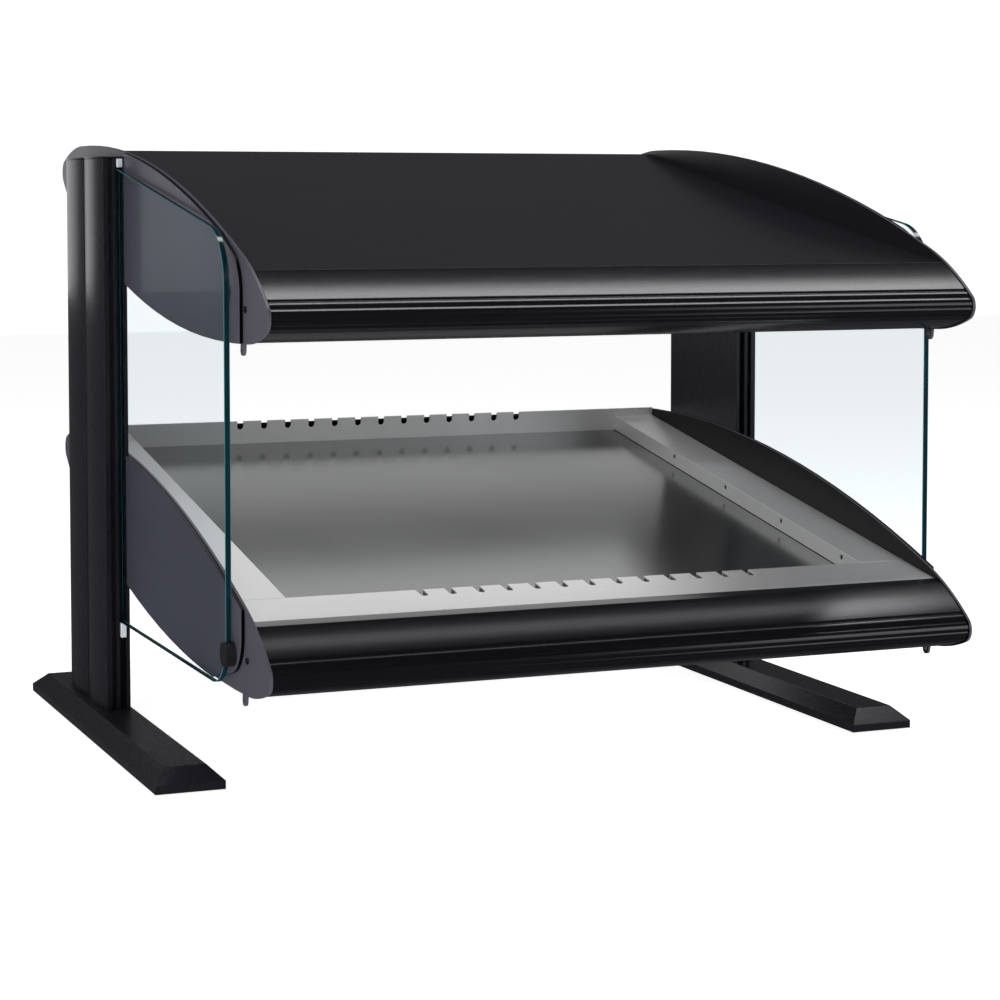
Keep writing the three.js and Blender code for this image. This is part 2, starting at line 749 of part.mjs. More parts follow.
function controlBody() {
  const front = backFaceAt - trimWall - gap;
  return box(
    knobX - controlBodyWidth / 2, knobX + controlBodyWidth / 2,
    front - controlBodyDepth, front,
    controlLevel - controlBodyHeight / 2, controlLevel + controlBodyHeight / 2,
  ).subtract(rodY(shaftRadius + gap, front - shaftReach - 1, front + 1,
    knobX, controlLevel, 24));
}

place(shelf, 'shelf_thermostat', controlBody(), ceramic);
place(shelf, 'shelf_heat_knob', knob(), blackPlastic);
place(canopy, 'canopy_heat_regulator', controlBody(), ceramic);
place(canopy, 'canopy_heat_knob', knob(), blackPlastic);

// Rocker switch: a bezel and body with a pocket, and the rocker that tips in it about X.
function switchFrame() {
  const face = backFaceAt + gap;
  const halfW = switchWidth / 2;
  const halfH = switchHeight / 2;
  return joined(
    box(switchX - halfW, switchX + halfW, backFaceAt - switchDepth, face + 1,
      controlLevel - halfH, controlLevel + halfH),
    box(switchX - bezelWidth / 2, switchX + bezelWidth / 2, face, face + bezelThickness,
      controlLevel - bezelHeight / 2, controlLevel + bezelHeight / 2),
  ).subtract(box(
    switchX - halfW + switchWall, switchX + halfW - switchWall,
    backFaceAt - switchDepth + switchFloor, face + bezelThickness + 1,
    controlLevel - halfH + switchWall, controlLevel + halfH - switchWall,
  ));
}

const rockerPivotY = backFaceAt - rockerBehindFace;
function rocker() {
  const half = switchHeight / 2 - switchWall - rockerEndRoom;
  const section = new THREE.Shape();
  section.moveTo(-rockerKeel, 0);
  section.lineTo(-rockerCheek, -half);
  section.lineTo(rockerLip, -half);
  section.lineTo(rockerDip, 0);
  section.lineTo(rockerLip, half);
  section.lineTo(-rockerCheek, half);
  const width = switchWidth / 2 - switchWall - gap;
  return alongX(section, -width, width)
    .rotate([-rockerTilt, 0, 0])
    .translate([switchX, rockerPivotY, controlLevel]);
}

place(shelf, 'power_switch_frame', switchFrame(), blackPlastic);
place(shelf, 'power_rocker', rocker(), redPlastic);
place(canopy, 'light_switch_frame', switchFrame(), blackPlastic);
place(canopy, 'light_rocker', rocker(), blackPlastic);

// Cord gland: bushing through the rear extrusion with an open bore.
const glandFace = backFaceAt + gap;
place(shelf, 'cord_gland', joined(
  rodY(glandStem, backFaceAt - trimWall - glandInside, glandFace + 1, glandX, controlLevel, 32),
  rodY(glandNutRadius, glandFace, glandFace + glandNutThickness, glandX, controlLevel, 6),
  rodY(glandRadius, glandFace + glandNutThickness - 1, glandFace + glandProud,
    glandX, controlLevel, 32),
).subtract(rodY(glandBore, backFaceAt - trimWall - glandInside - overcut,
  glandFace + glandProud + overcut,
  glandX, controlLevel, 24)), blackPlastic);

// ---------------------------------------------------------------- feet
const uprightInner = bodyHalfWidth + plateThickness + gap;
const uprightOuter = uprightInner + uprightWidth;
const footOuter = uprightOuter + footOutstand;
const footInner = footOuter - footWidth;
const footRearY = footFrontY + footLength;
const uprightMiddleY = uprightFrontY + uprightDepth / 2;
const uprightRearY = uprightFrontY + uprightDepth;
const boltX = (uprightInner + uprightOuter) / 2;
const boltYs = [uprightMiddleY, uprightRearY - boltFromRear];

function bevelledSection(from, to, bevel) {
  const section = new THREE.Shape();
  section.moveTo(from, footLift);
  section.lineTo(to, footLift);
  section.lineTo(to, footBandHeight);
  section.lineTo(to - bevel, footHeight);
  section.lineTo(from + bevel, footHeight);
  section.lineTo(from, footBandHeight);
  return section;
}

function foot() {
  const cross = new THREE.ExtrudeGeometry(
    bevelledSection(-footOuter, -footInner, footSideBevel),
    { depth: footLength, bevelEnabled: false },
  );
  cross.rotateX(Math.PI / 2);
  cross.rotateZ(Math.PI);
  cross.translate(0, footFrontY, 0);
  let body = solid(cross).intersect(
    alongX(bevelledSection(footFrontY, footRearY, footEndBevel), footInner - overcut, footOuter + overcut));
  boltYs.forEach((y) => {
    body = body
      .subtract(rodZ(boltRadius + gap, 0, footHeight + 1, boltX, y, 24))
      .subtract(rodZ(boltHeadRadius + gap, 0, padThickness + boltHeadHeight + 1, boltX, y, 24));
  });
  return body.subtract(padSolid(gap));
}

// Rubber strip let into the underside, clear of the bolts on its outer side.
function padSolid(clearance) {
  const x0 = boltX + boltHeadRadius + padFromBolts;
  return box(
    x0 - clearance, x0 + padWidth - footSideBevel / 2 + clearance,
    footFrontY + padEndMargin - clearance, footRearY - padEndMargin + clearance,
    clearance ? -1 : 0, padThickness + clearance,
  );
}

function footBolt(y) {
  const headTop = padThickness + boltHeadHeight;
  return joined(
    rodZ(boltHeadRadius, padThickness, headTop, boltX, y, 24),
    rodZ(boltRadius, headTop - 1, footHeight + boltReach, boltX, y, 24),
  );
}

placePair(displayCase, 'foot', foot(), blackAluminium);
placePair(displayCase, 'foot_pad', padSolid(0), rubber);
placePair(displayCase, 'middle_foot_bolt', footBolt(boltYs[0]), zinc);
placePair(displayCase, 'rear_foot_bolt', footBolt(boltYs[1]), zinc);

// ---------------------------------------------------------------- uprights
// Plan outline: flat inner side, two convex flutes outside with a narrow groove between them.
function uprightOutline(withGrooves) {
  const chord = uprightDepth / 2;
  const fluteRadius = (chord * chord / 4 + fluteSagitta * fluteSagitta) / (2 * fluteSagitta);
  const centreX = uprightOuter + fluteSagitta - fluteRadius;
  const edge = withGrooves ? fluteGrooveWidth / 2 : 0;
  const half = Math.asin(chord / 2 / fluteRadius);
  const cut = Math.asin((chord / 2 - edge) / fluteRadius);
  const lowY = uprightFrontY + chord / 2;
  const highY = lowY + chord;
  const outline = new THREE.Shape();
  outline.moveTo(uprightInner, uprightFrontY);
  outline.lineTo(uprightOuter, uprightFrontY);
  outline.absarc(centreX, lowY, fluteRadius, -half, cut, false);
  if (withGrooves) {
    outline.lineTo(uprightOuter - fluteGrooveDepth, uprightMiddleY - edge);
    outline.lineTo(uprightOuter - fluteGrooveDepth, uprightMiddleY + edge);
  }
  outline.absarc(centreX, highY, fluteRadius, -cut, half, false);
  outline.lineTo(uprightInner, uprightRearY);
  return outline;
}

const glassInner = uprightInner + glassOffset;
const glassOuter = glassInner + glassThickness;
const capBottom = uprightTop - uprightCapThickness;

function upright() {
  const z0 = footHeight + gap;
  const z1 = capBottom - gap;
  const slotBack = uprightFrontY + glassEngagement + glassSlotClearance;
  const pocketX0 = uprightInner + uprightWall;
  const pocketX1 = uprightOuter - fluteWall;
  const rearBoss = uprightRearY - bossWidth - uprightWall;
  return upwards(uprightOutline(true), z0, z1)
    .subtract(box(glassInner - glassSlotClearance, glassOuter + glassSlotClearance,
      uprightFrontY - 1, slotBack, z0 - 1, z1 + 1))
    .subtract(box(uprightInner + lipGrooveOffset, uprightInner + lipGrooveOffset + lipGrooveWidth,
      uprightFrontY - 1, uprightFrontY + lipGrooveDepth, z0 - 1, z1 + 1))
    .subtract(box(pocketX0, pocketX1, slotBack + uprightWall, uprightMiddleY - bossWidth / 2,
      z0 - 1, z1 + 1))
    .subtract(box(pocketX0, pocketX1, uprightMiddleY + bossWidth / 2, rearBoss,
      z0 - 1, z1 + 1))
    .subtract(rodZ(boltRadius + gap, z0 - 1, z1 + 1, boltX, boltYs[0], 24))
    .subtract(rodZ(boltRadius + gap, z0 - 1, z1 + 1, boltX, boltYs[1], 24));
}

placePair(displayCase, 'upright', upright(), blackAluminium);
placePair(displayCase, 'upright_cap',
  upwards(uprightOutline(false), capBottom, uprightTop), blackAluminium);

// ---------------------------------------------------------------- side glass
function glassShape() {
  const rear = uprightFrontY + glassEngagement;
  const tilt = radians(glassTopSlope);
  const topAt = (y) => glassRearTop - (rear - y) * Math.tan(tilt);
  const topRun = glassTopCorner * Math.tan((Math.PI / 2 - tilt) / 2);
  const topCentreZ = topAt(glassFrontY) - topRun;
  const sheet = new THREE.Shape();
  sheet.moveTo(rear, glassBottom);
  sheet.lineTo(rear, glassRearTop);
  sheet.absarc(glassFrontY + glassTopCorner, topCentreZ, glassTopCorner,
    Math.PI / 2 + tilt, Math.PI, false);
  sheet.absarc(glassFrontY + glassBottomCorner, glassBottom + glassBottomCorner,
    glassBottomCorner, Math.PI, Math.PI * 1.5, false);
  return sheet;
}

placePair(displayCase, 'side_glass', alongX(glassShape(), glassInner, glassOuter, 16),
  tintedGlass);

// Nylon blocks in the upright's slot, under and over the glass.
function slotPlug(z0, z1) {
  return box(glassInner, glassOuter, uprightFrontY - plugProud,
    uprightFrontY + glassEngagement, z0, z1);
}

placePair(displayCase, 'lower_glass_block',
  slotPlug(glassBottom - gap - plugHeight, glassBottom - gap), nylon);
placePair(displayCase, 'upper_glass_block',
  slotPlug(glassRearTop + gap, capBottom - 2 * gap), nylon);

// Thin disc between canopy cover and glass, and the slotted stud on the shelf cover.
const coverFace = bodyHalfWidth + plateThickness + gap + coverThickness;
placePair(displayCase, 'glass_spacer_disc', rodX(discRadius, coverFace + gap, glassInner - gap,
  glassFrontY + discFromGlassEdge, discHeight, 32), rubber);

const glassWithRoom = alongX(glassShape(), glassInner - gap, glassOuter + gap, 16);
placePair(displayCase, 'glass_stud', joined(
  rodX(clipRadius, coverFace + gap, glassOuter + clipProud, glassFrontY - gap, clipHeight, 32),
).subtract(glassWithRoom), blackPlastic);

export default displayCase;
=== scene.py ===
"""Hot food display case: the finish of every piece, its end screws, and the studio round it."""
import math

import bpy
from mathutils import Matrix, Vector


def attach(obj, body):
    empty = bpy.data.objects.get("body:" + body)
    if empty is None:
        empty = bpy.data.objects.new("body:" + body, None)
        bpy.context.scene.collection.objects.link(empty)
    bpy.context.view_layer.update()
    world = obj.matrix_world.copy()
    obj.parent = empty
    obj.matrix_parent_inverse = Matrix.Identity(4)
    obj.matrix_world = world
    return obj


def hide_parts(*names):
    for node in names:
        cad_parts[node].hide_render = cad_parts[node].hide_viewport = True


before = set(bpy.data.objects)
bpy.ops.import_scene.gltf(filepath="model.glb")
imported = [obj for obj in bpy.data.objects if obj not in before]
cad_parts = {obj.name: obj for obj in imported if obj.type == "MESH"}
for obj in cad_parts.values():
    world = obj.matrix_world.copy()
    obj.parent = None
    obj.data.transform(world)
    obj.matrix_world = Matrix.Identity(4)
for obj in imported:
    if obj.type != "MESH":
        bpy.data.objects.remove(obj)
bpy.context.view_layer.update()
bpy.ops.object.select_all(action="DESELECT")

# ---------------------------------------------------------------- camera
# A long lens at a standing customer's left, about level with the canopy. The small tilt and
# shift keep the uprights almost parallel.
downward_tilt = 3.42
turn_to_the_right = 22.094

camera_data = bpy.data.cameras.new("camera")
camera_data.sensor_width = 36
camera_data.lens = 92.19
camera_data.shift_y = -0.15
camera = bpy.data.objects.new("camera", camera_data)
camera.location = (-0.887, -2.2364, 0.4973)
camera.rotation_euler = (math.radians(90 - downward_tilt), 0, math.radians(-turn_to_the_right))
bpy.context.scene.collection.objects.link(camera)
bpy.context.scene.camera = camera

# ---------------------------------------------------------------- studio
# A pale paper floor in a white surround that only the camera sees. Soft boxes stand overhead,
# to the left and in front, with a card behind, and two small ones under the canopy stand for
# the glow of its rods and lamp.


def linear(hex_colour, alpha=1.0):
    """An sRGB hex colour as the linear colour that a shader takes."""
    parts = [int(hex_colour[i:i + 2], 16) / 255 for i in (1, 3, 5)]
    return tuple(c / 12.92 if c <= 0.04045 else ((c + 0.055) / 1.055) ** 2.4
                 for c in parts) + (alpha,)


def add_node(tree, kind, inputs=(), **settings):
    """Adds one node, with its settings, and its inputs as plain values or as sockets to link."""
    made = tree.nodes.new(kind)
    for name, value in settings.items():
        setattr(made, name, value)
    for name, value in dict(inputs).items():
        if isinstance(value, bpy.types.NodeSocket):
            tree.links.new(value, made.inputs[name])
        else:
            made.inputs[name].default_value = value
    return made


bpy.context.scene.view_settings.view_transform = "Standard"
surround = bpy.data.worlds.new("white_surround")
bpy.context.scene.world = surround
surround.use_nodes = True
sky = surround.node_tree
sky.nodes.clear()
path = add_node(sky, "ShaderNodeLightPath")
paper = add_node(sky, "ShaderNodeBackground", {"Color": linear("#ffffff"), "Strength": 1.1})
room = add_node(sky, "ShaderNodeBackground", {"Color": linear("#eef0f6"), "Strength": 0.07})
either = add_node(sky, "ShaderNodeMixShader", {
    0: path.outputs["Is Camera Ray"], 1: room.outputs[0], 2: paper.outputs[0]})
add_node(sky, "ShaderNodeOutputWorld", {"Surface": either.outputs[0]})


def soft_box(name, place, target, width, depth, watts):
    """A rectangular light that faces a point and isn't seen itself."""
    data = bpy.data.lights.new(name, "AREA")
    data.shape = "RECTANGLE"
    data.size = width
    data.size_y = depth
    data.energy = watts
    lamp = bpy.data.objects.new(name, data)
    lamp.location = place
    facing = (Vector(target) - Vector(place)).to_track_quat("-Z", "Y")
    lamp.rotation_euler = facing.to_euler()
    lamp.visible_camera = False
    bpy.context.scene.collection.objects.link(lamp)


soft_box("overhead_box", (0.2, 0.08, 2.1), (0.2, 0, 0.4), width=2.6, depth=0.36, watts=22)
soft_box("front_left_box", (-1.9, -2.1, 1.35), (0, 0, 0.3), width=1.8, depth=1.0, watts=22)
soft_box("left_box", (-2.6, -0.3, 0.45), (0, 0, 0.25), width=1.6, depth=1.0, watts=9)
soft_box("front_right_box", (1.9, -2.3, 1.0), (0, 0, 0.3), width=1.4, depth=1.2, watts=16)
soft_box("rear_card", (0, 0.85, 0.5), (0, 0, 0.5), width=1.3, depth=0.24, watts=0.8)
soft_box("under_canopy_glow", (0, -0.275, 0.372), (0, -0.275, 0.1),
         width=0.62, depth=0.03, watts=0.15)
soft_box("display_glow", (0, 0.02, 0.392), (0, 0, 0.1), width=0.56, depth=0.45, watts=0.9)


def blank_material(name):
    """A new material, with its node tree and its Principled shader."""
    material = bpy.data.materials.new(name)
    material.use_nodes = True
    return material, material.node_tree, material.node_tree.nodes["Principled BSDF"]


# half a millimetre low, so that the pads never flicker through it
bpy.ops.mesh.primitive_plane_add(size=14, location=(0, 0, -0.0005))
floor = bpy.context.object
floor.name = "studio_floor"
# matt paper, lit a little from within so that it meets the surround without a line
pale_paper, _, shader = blank_material("pale_studio_paper")
shader.inputs["Base Color"].default_value = linear("#f4f4f4")
shader.inputs["Roughness"].default_value = 0.9
shader.inputs["Specular IOR Level"].default_value = 0.1
shader.inputs["Emission Color"].default_value = linear("#ffffff")
shader.inputs["Emission Strength"].default_value = 0.9
floor.data.materials.append(pale_paper)
floor.visible_glossy = False

# ---------------------------------------------------------------- uprights and their caps
# Two fluted aluminium extrusions, anodised black, that carry both bodies and grip the side
# glass in a front slot. Drawing leaves faint lines along their length.
MM = 0.001


def anodised_black(name, hex_colour, roughness, grain_axis, grain_mm, relief):
    """Anodised aluminium: a dense black that still shows drawing lines along one axis, 0 to 2."""
    material, tree, shader = blank_material(name)
    coords = add_node(tree, "ShaderNodeTexCoord")
    across = 1 / (grain_mm * MM)
    line_length = 60        # in line widths
    stretch = [across] * 3
    stretch[grain_axis] = across / line_length
    placed = add_node(tree, "ShaderNodeMapping", {
        "Vector": coords.outputs["Object"], "Scale": stretch})
    lines = add_node(tree, "ShaderNodeTexNoise", {
        "Vector": placed.outputs[0], "Scale": 1.0, "Detail": 3.0, "Roughness": 0.6})
    # the lines are a fifth darker or a quarter lighter than the colour itself
    tone = add_node(tree, "ShaderNodeValToRGB", {"Fac": lines.outputs[0]})
    for stop, place, gain in zip(tone.color_ramp.elements, (0.3, 0.75), (0.8, 1.25)):
        stop.position = place
        stop.color = [c * gain for c in linear(hex_colour)[:3]] + [1]
    sheen = add_node(tree, "ShaderNodeMapRange", {
        "Value": lines.outputs[0], "To Min": roughness - 0.05, "To Max": roughness + 0.07})
    bump = add_node(tree, "ShaderNodeBump", {
        "Height": lines.outputs[0], "Strength": relief, "Distance": 0.05 * MM})
    tree.links.new(tone.outputs[0], shader.inputs["Base Color"])
    tree.links.new(sheen.outputs[0], shader.inputs["Roughness"])
    tree.links.new(bump.outputs[0], shader.inputs["Normal"])
    shader.inputs["Metallic"].default_value = 0.35
    return material


def finished_copy(node, materials, edge_mm, body="case", sharp=35):
    """A merged copy of a CAD node with its sharp edges rounded, in place of the node."""
    weld_distance = 0.004 * MM
    flat_within = 0.4       # degrees between faces that count as one
    piece = bpy.data.objects.new(node + "_finish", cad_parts[node].data.copy())
    bpy.context.scene.collection.objects.link(piece)
    bpy.ops.object.select_all(action="DESELECT")
    bpy.context.view_layer.objects.active = piece
    piece.select_set(True)
    bpy.ops.object.mode_set(mode="EDIT")
    bpy.ops.mesh.select_all(action="SELECT")
    bpy.ops.mesh.customdata_custom_splitnormals_clear()
    bpy.ops.mesh.remove_doubles(threshold=weld_distance)
    bpy.ops.mesh.dissolve_limited(angle_limit=math.radians(flat_within))
    bpy.ops.object.mode_set(mode="OBJECT")
    rounding = piece.modifiers.new("rounding", "BEVEL")
    rounding.width = edge_mm * MM
    rounding.segments = 3
    rounding.limit_method = "ANGLE"
    rounding.angle_limit = math.radians(sharp)
    bpy.ops.object.modifier_apply(modifier="rounding")
    bpy.ops.object.shade_smooth_by_angle(angle=math.radians(sharp))
    weights = piece.modifiers.new("weights", "WEIGHTED_NORMAL")
    weights.keep_sharp = True
    bpy.ops.object.modifier_apply(modifier="weights")
    piece.data.materials.clear()
    for material in materials:
        piece.data.materials.append(material)
    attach(piece, body)
    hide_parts(node)
    return piece


upright_anodising = anodised_black("black_anodised_extrusion_upright", "#24232a", roughness=0.26,
                                   grain_axis=2, grain_mm=0.5, relief=0.15)
for side in ("left", "right"):
    finished_copy(f"{side}_upright", [upright_anodising], 0.5)
    finished_copy(f"{side}_upright_cap", [upright_anodising], 0.4)

# ---------------------------------------------------------------- feet
# Long solid aluminium bars with bevelled sides and ends, anodised black, standing on a rubber
# strip and bolted up into the uprights.
foot_anodising = anodised_black("black_anodised_bar_foot", "#242329", roughness=0.26,
                                grain_axis=1, grain_mm=0.5, relief=0.12)

# moulded rubber: matt, with a fine cast grain
cast_grain = 0.6 * MM
moulded_rubber, tree, shader = blank_material("moulded_black_rubber")
coords = add_node(tree, "ShaderNodeTexCoord")
grain = add_node(tree, "ShaderNodeTexNoise", {
    "Vector": coords.outputs["Object"], "Scale": 1 / cast_grain, "Detail": 2.0})
bump = add_node(tree, "ShaderNodeBump", {
    "Height": grain.outputs[0], "Strength": 0.4, "Distance": 0.1 * MM})
tree.links.new(bump.outputs[0], shader.inputs["Normal"])
shader.inputs["Base Color"].default_value = linear("#151515")
shader.inputs["Roughness"].default_value = 0.8

# zinc-plated steel: a grey metal with the faint blotches of its passivation. Inputs 6 and 7 of
# a Mix node are its two colours.
blotch_width = 3 * MM
zinc_plating, tree, shader = blank_material("bright_zinc_plating")
coords = add_node(tree, "ShaderNodeTexCoord")
blotch = add_node(tree, "ShaderNodeTexNoise", {
    "Vector": coords.outputs["Object"], "Scale": 1 / blotch_width, "Detail": 3.0})
plating = add_node(tree, "ShaderNodeMix", {
    0: blotch.outputs[0], 6: linear("#7f8286"), 7: linear("#a5a49b")}, data_type="RGBA")
tree.links.new(plating.outputs[2], shader.inputs["Base Color"])
shader.inputs["Metallic"].default_value = 1.0
shader.inputs["Roughness"].default_value = 0.35

for side in ("left", "right"):
    finished_copy(f"{side}_foot", [foot_anodising], 0.8, sharp=25)
    finished_copy(f"{side}_foot_pad", [moulded_rubber], 0.8)
    for place in ("middle", "rear"):
        finished_copy(f"{side}_{place}_foot_bolt", [zinc_plating], 0.5)

# ---------------------------------------------------------------- end plates and covers
# Pressed sheet, powder coated charcoal outside. Inside, the plates are painted darker as painted
# shade: the shelf's a dense black that takes no light, the canopy's a satin black. The cut edges of
# the raised covers are that dense black too, a painted shadow that shows as a dark line.


def powder_coat(name, hex_colour, roughness, peel_mm, relief):
    """Powder coating: a satin colour with the slight orange peel of the baked powder."""
    material, tree, shader = blank_material(name)
    cloud_width = 111 * MM
    coords = add_node(tree, "ShaderNodeTexCoord")
    peel = add_node(tree, "ShaderNodeTexNoise", {
        "Vector": coords.outputs["Object"], "Scale": 1 / (peel_mm * MM), "Detail": 2.0})
    cloud = add_node(tree, "ShaderNodeTexNoise", {
        "Vector": coords.outputs["Object"], "Scale": 1 / cloud_width, "Detail": 2.0})
    both = add_node(tree, "ShaderNodeMath", {
        0: peel.outputs[0], 1: cloud.outputs[0]}, operation="MULTIPLY")
    # a tenth darker to a tenth lighter than the colour itself
    tone = add_node(tree, "ShaderNodeValToRGB", {"Fac": both.outputs[0]})
    for stop, place, gain in zip(tone.color_ramp.elements, (0.12, 0.42), (0.9, 1.1)):
        stop.position = place
        stop.color = [c * gain for c in linear(hex_colour)[:3]] + [1]
    bump = add_node(tree, "ShaderNodeBump", {
        "Height": peel.outputs[0], "Strength": relief, "Distance": 0.05 * MM})
    tree.links.new(tone.outputs[0], shader.inputs["Base Color"])
    tree.links.new(bump.outputs[0], shader.inputs["Normal"])
    shader.inputs["Roughness"].default_value = roughness
    return material


charcoal_coat = powder_coat("charcoal_powder_coat", "#504d58", roughness=0.42, peel_mm=1.4,
                            relief=0.25)
# painted shade: a near black with little gloss, for the shelf plates' inner faces and the covers'
# cut edges
painted_shade_black = powder_coat("painted_shade_black_coat", "#030304", roughness=0.4, peel_mm=2.0, relief=0.1)
shader = painted_shade_black.node_tree.nodes["Principled BSDF"]
shader.inputs["Specular IOR Level"].default_value = 0.12
# painted shade: the canopy plates' inner faces a satin black, darker than their charcoal outside
painted_shade_satin_black = powder_coat("painted_shade_satin_black_powder_coat", "#1f1e23", roughness=0.35, peel_mm=1.8,
                          relief=0.15)

for level, inner_shade_coat in (("shelf", painted_shade_black), ("canopy", painted_shade_satin_black)):
    for side, outward in (("left", -1), ("right", 1)):
        plate = finished_copy(f"{side}_{level}_end_plate",
                              [charcoal_coat, inner_shade_coat], 0.5)
        # the inner faces take the painted shade coat
        for face in plate.data.polygons:
            faces_inwards = face.normal.x * outward < -0.7
            face.material_index = 1 if faces_inwards else 0
        cover = finished_copy(f"{side}_{level}_end_cover",
                              [charcoal_coat, painted_shade_black], 0.4)
        # faces that don't face outwards, the cut edges among them, take the painted shadow black
        for face in cover.data.polygons:
            faces_outwards = face.normal.x * outward > 0.5
            face.material_index = 0 if faces_outwards else 1

# ---------------------------------------------------------------- end screws
# A slotted pan-head screw just behind the tip of each end plate, which holds the nose
# extrusion to it. The steel is blackened, so it shows only as a small dark head.
screw_y = -298 * MM
screw_z = {"shelf": 130 * MM, "canopy": 409 * MM}
head_seat = 315.6 * MM      # from the middle plane, a hair inside the plate's outer face
head_radius = 2.6 * MM
head_height = 1.7 * MM
head_crown = 0.8 * MM
slot_width = 0.8 * MM
slot_length = 7 * MM        # past both sides of the head
slot_floor = 316.5 * MM     # from the middle plane
cutter_height = 1.6 * MM

# blackened steel: a dull dark metal, its oxide a little uneven
oxide_width = 1 * MM
blackened_steel, tree, shader = blank_material("blackened_steel_screw")
coords = add_node(tree, "ShaderNodeTexCoord")
oxide = add_node(tree, "ShaderNodeTexNoise", {
    "Vector": coords.outputs["Object"], "Scale": 1 / oxide_width, "Detail": 2.0})
oxide_tone = add_node(tree, "ShaderNodeMix", {
    0: oxide.outputs[0], 6: linear("#141416"), 7: linear("#222226")}, data_type="RGBA")
tree.links.new(oxide_tone.outputs[2], shader.inputs["Base Color"])
shader.inputs["Metallic"].default_value = 0.6
shader.inputs["Roughness"].default_value = 0.35

for level in ("shelf", "canopy"):
    for side, outward in (("left", -1), ("right", 1)):
        bpy.ops.mesh.primitive_cylinder_add(
            vertices=48, radius=head_radius, depth=head_height, rotation=(0, math.radians(90), 0),
            location=(outward * (head_seat + head_height / 2), screw_y, screw_z[level]))
        screw = bpy.context.object
        screw.name = f"{side}_{level}_end_screw"
        bpy.ops.object.transform_apply(location=True, rotation=True, scale=True)
        # the outer rim is rounded to a pan head
        bpy.ops.object.mode_set(mode="EDIT")
        bpy.ops.mesh.select_mode(type="FACE")
        bpy.ops.mesh.select_all(action="DESELECT")
        bpy.ops.object.mode_set(mode="OBJECT")
        for face in screw.data.polygons:
            face.select = face.normal.x * outward > 0.9
        bpy.ops.object.mode_set(mode="EDIT")
        bpy.ops.mesh.bevel(offset=head_crown, segments=4, affect="EDGES")
        bpy.ops.object.mode_set(mode="OBJECT")
        # an upright slot is cut across it
        bpy.ops.mesh.primitive_cube_add(
            size=1, location=(outward * (slot_floor + cutter_height / 2), screw_y, screw_z[level]))
        cutter = bpy.context.object
        cutter.dimensions = (cutter_height, slot_width, slot_length)
        bpy.ops.object.transform_apply(location=True, rotation=True, scale=True)
        bpy.ops.object.select_all(action="DESELECT")
        bpy.context.view_layer.objects.active = screw
        screw.select_set(True)
        driver_slot = screw.modifiers.new("driver_slot", "BOOLEAN")
        driver_slot.object = cutter
        driver_slot.solver = "EXACT"
        bpy.ops.object.modifier_apply(modifier="driver_slot")
        bpy.ops.object.shade_smooth_by_angle(angle=math.radians(30))
        bpy.data.objects.remove(cutter)
        screw.data.materials.clear()
        screw.data.materials.append(blackened_steel)
        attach(screw, "case")

# ---------------------------------------------------------------- nose and tail extrusions
# Thin-walled aluminium extrusions, anodised black. The nose has a plain round that takes the
# light, then soft grooves round its front.
trim_anodising = anodised_black("black_anodised_extrusion_trim", "#141419", roughness=0.19,
                                grain_axis=0, grain_mm=0.6, relief=0.3)
for level in ("shelf", "canopy"):
    finished_copy(f"{level}_front_trim", [trim_anodising], 0.3, sharp=50)
    finished_copy(f"{level}_rear_trim", [trim_anodising], 0.3, sharp=50)

# ---------------------------------------------------------------- skins and top panel
# Folded sheet steel, powder coated. The canopy's top is a smoother, glossier black than the
# charcoal undersides.
panel_coat = powder_coat("smooth_black_powder_coat", "#1e1d23", roughness=0.22, peel_mm=3.0,
                         relief=0.04)
for level in ("shelf", "canopy"):
    finished_copy(f"{level}_bottom_skin", [charcoal_coat], 0.3)
finished_copy("canopy_top_panel", [panel_coat], 0.4)

# ---------------------------------------------------------------- stainless rim
# Folded stainless strips round the heated plate, each brushed along its own length, with the
# divider slots in front, notches behind and small holes in the side walls.
body_slope = math.radians(9.7)


def brushed_stainless(name, along):
    """Brushed stainless: a bright steel with fine scratches along X or along the slope of Y."""
    material, tree, shader = blank_material(name)
    across = 1 / (0.35 * MM)
    scratch_length = 90     # in scratch widths
    lengthwise = across / scratch_length
    stretch = (lengthwise, across, across) if along == "X" else (across, lengthwise, across)
    coords = add_node(tree, "ShaderNodeTexCoord")
    placed = add_node(tree, "ShaderNodeMapping", {
        "Vector": coords.outputs["Object"], "Scale": stretch, "Rotation": (-body_slope, 0, 0)})
    scratch = add_node(tree, "ShaderNodeTexNoise", {
        "Vector": placed.outputs[0], "Scale": 1.0, "Detail": 4.0, "Roughness": 0.7})
    steel = add_node(tree, "ShaderNodeMix", {
        0: scratch.outputs[0], 6: linear("#d0d0d0"), 7: linear("#f0f0f0")}, data_type="RGBA")
    polish = add_node(tree, "ShaderNodeMapRange", {
        "Value": scratch.outputs[0], "To Min": 0.3, "To Max": 0.46})
    bump = add_node(tree, "ShaderNodeBump", {
        "Height": scratch.outputs[0], "Strength": 0.15, "Distance": 0.03 * MM})
    tree.links.new(steel.outputs[2], shader.inputs["Base Color"])
    tree.links.new(polish.outputs[0], shader.inputs["Roughness"])
    tree.links.new(bump.outputs[0], shader.inputs["Normal"])
    shader.inputs["Metallic"].default_value = 0.6
    return material


steel_across = brushed_stainless("brushed_stainless_across", "X")
steel_down = brushed_stainless("brushed_stainless_down", "Y")
for node, steel in (("rim_front", steel_across), ("rim_rear", steel_across),
                    ("left_rim", steel_down), ("right_rim", steel_down)):
    finished_copy(node, [steel], 0.25)

# ---------------------------------------------------------------- heated plate and its layers
# A hard-coated aluminium plate that shows soft reflections of the rim. Under it, both hidden,
# are the silicone heater foil and the fibre blanket.

